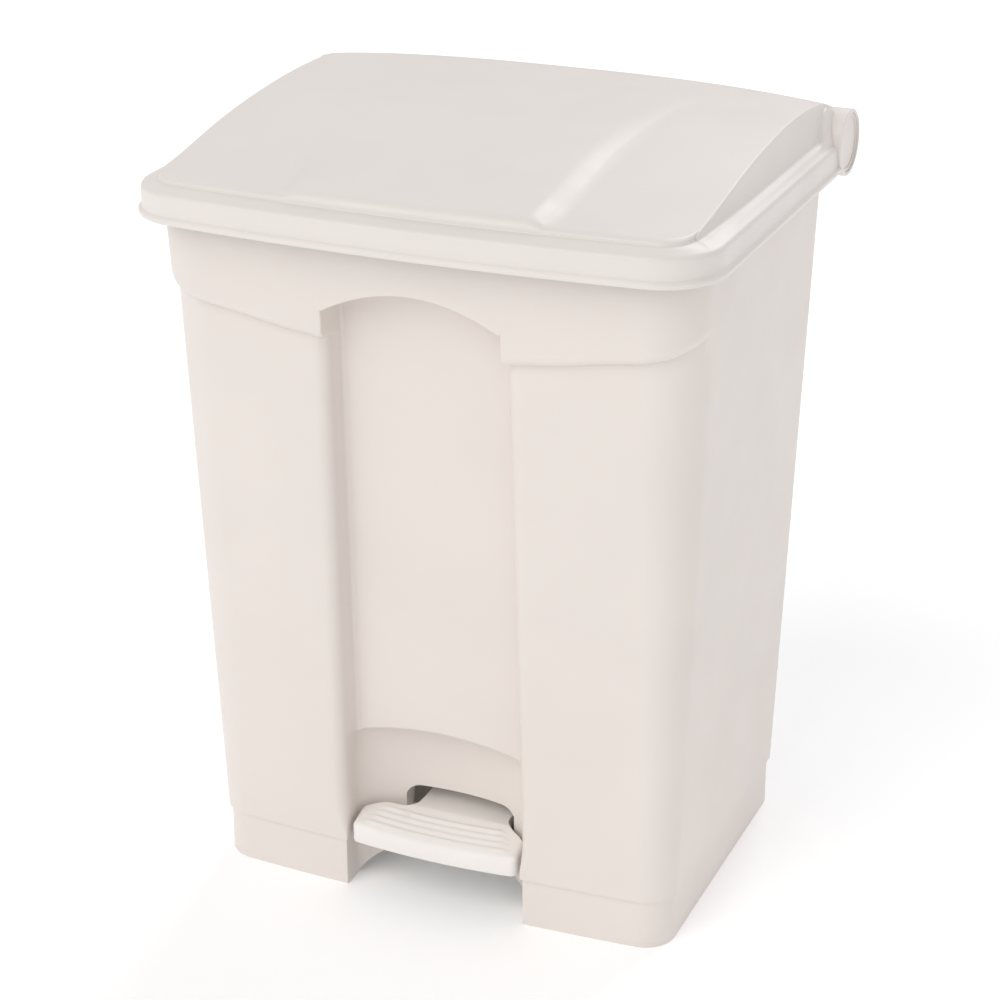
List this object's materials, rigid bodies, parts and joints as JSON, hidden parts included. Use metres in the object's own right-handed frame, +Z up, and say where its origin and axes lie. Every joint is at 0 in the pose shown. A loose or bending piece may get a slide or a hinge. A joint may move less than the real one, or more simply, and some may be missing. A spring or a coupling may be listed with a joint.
{
  "type": "pedal bin",
  "caption": "Tall tapered moulded bin with a crowned lid on a rear hinge roll, opened by a front pedal through lift rods at the back.",
  "frame": {"origin": "on the floor under the middle of the bin's overall footprint", "axes": "+Z up, the pedal side faces -Y, +X to the right seen from the back of the view direction +Y"},
  "size_m": [0.5, 0.409, 0.6754],
  "materials": {
    "body_plastic": "satin moulded warm white",
    "lid_plastic": "satin moulded warm white",
    "pedal_plastic": "satin moulded white",
    "grey_nylon": "plain moulded light grey",
    "soft_rubber": "matt soft rubber",
    "bright_steel": "drawn bright bar",
    "plated_steel": "zinc plated sheet",
    "screw_steel": "zinc plated fasteners"
  },
  "bodies": {
    "root": {"body_shell": "body_plastic", "rod_guide_left": "grey_nylon", "rod_guide_right": "grey_nylon", "guide_screws": "screw_steel", "axle_bearing_left": "grey_nylon", "axle_bearing_right": "grey_nylon", "bearing_screws": "screw_steel", "hinge_rod": "bright_steel", "hinge_bracket_left": "body_plastic", "hinge_bracket_centre": "body_plastic", "hinge_bracket_right": "body_plastic", "hinge_screws": "screw_steel"},
    "lid": {"lid_shell": "lid_plastic", "hinge_end_cap_left": "lid_plastic", "hinge_end_cap_right": "lid_plastic", "hinge_bush_left": "grey_nylon", "hinge_bush_right": "grey_nylon", "lid_lever_left": "grey_nylon", "lid_lever_right": "grey_nylon", "lid_bumpers": "soft_rubber"},
    "pedal": {"pedal_tread": "pedal_plastic", "pedal_lever_frame": "plated_steel", "tread_screws": "screw_steel", "pedal_axle": "bright_steel", "axle_clips": "screw_steel"},
    "rod_left": {"lift_rod_left": "bright_steel", "rod_clips_left": "screw_steel"},
    "rod_right": {"lift_rod_right": "bright_steel", "rod_clips_right": "screw_steel"}
  },
  "joints": [
    {"name": "lid_hinge", "type": "hinge", "parent": "root", "child": "lid", "pos_m": [0, 0.1761, 0.629], "axis": [-1, 0, 0], "range_deg": [0, 80]},
    {"name": "pedal_pivot", "type": "hinge", "parent": "root", "child": "pedal", "pos_m": [0, 0.005, 0.06], "axis": [1, 0, 0], "range_deg": [0, 9.24]},
    {"name": "rod_pivot_left", "type": "hinge", "parent": "pedal", "child": "rod_left", "pos_m": [-0.15, 0.1611, 0.04741], "axis": [1, 0, 0], "range_deg": [-9.24, 0]},
    {"name": "rod_pivot_right", "type": "hinge", "parent": "pedal", "child": "rod_right", "pos_m": [0.15, 0.1611, 0.04741], "axis": [1, 0, 0], "range_deg": [-9.24, 0]}
  ],
  "couplings": [
    {"joint": "pedal_pivot", "follows": "lid_hinge", "ratio": 0.11525},
    {"joint": "rod_pivot_left", "follows": "lid_hinge", "ratio": -0.11525},
    {"joint": "rod_pivot_right", "follows": "lid_hinge", "ratio": -0.11525}
  ]
}
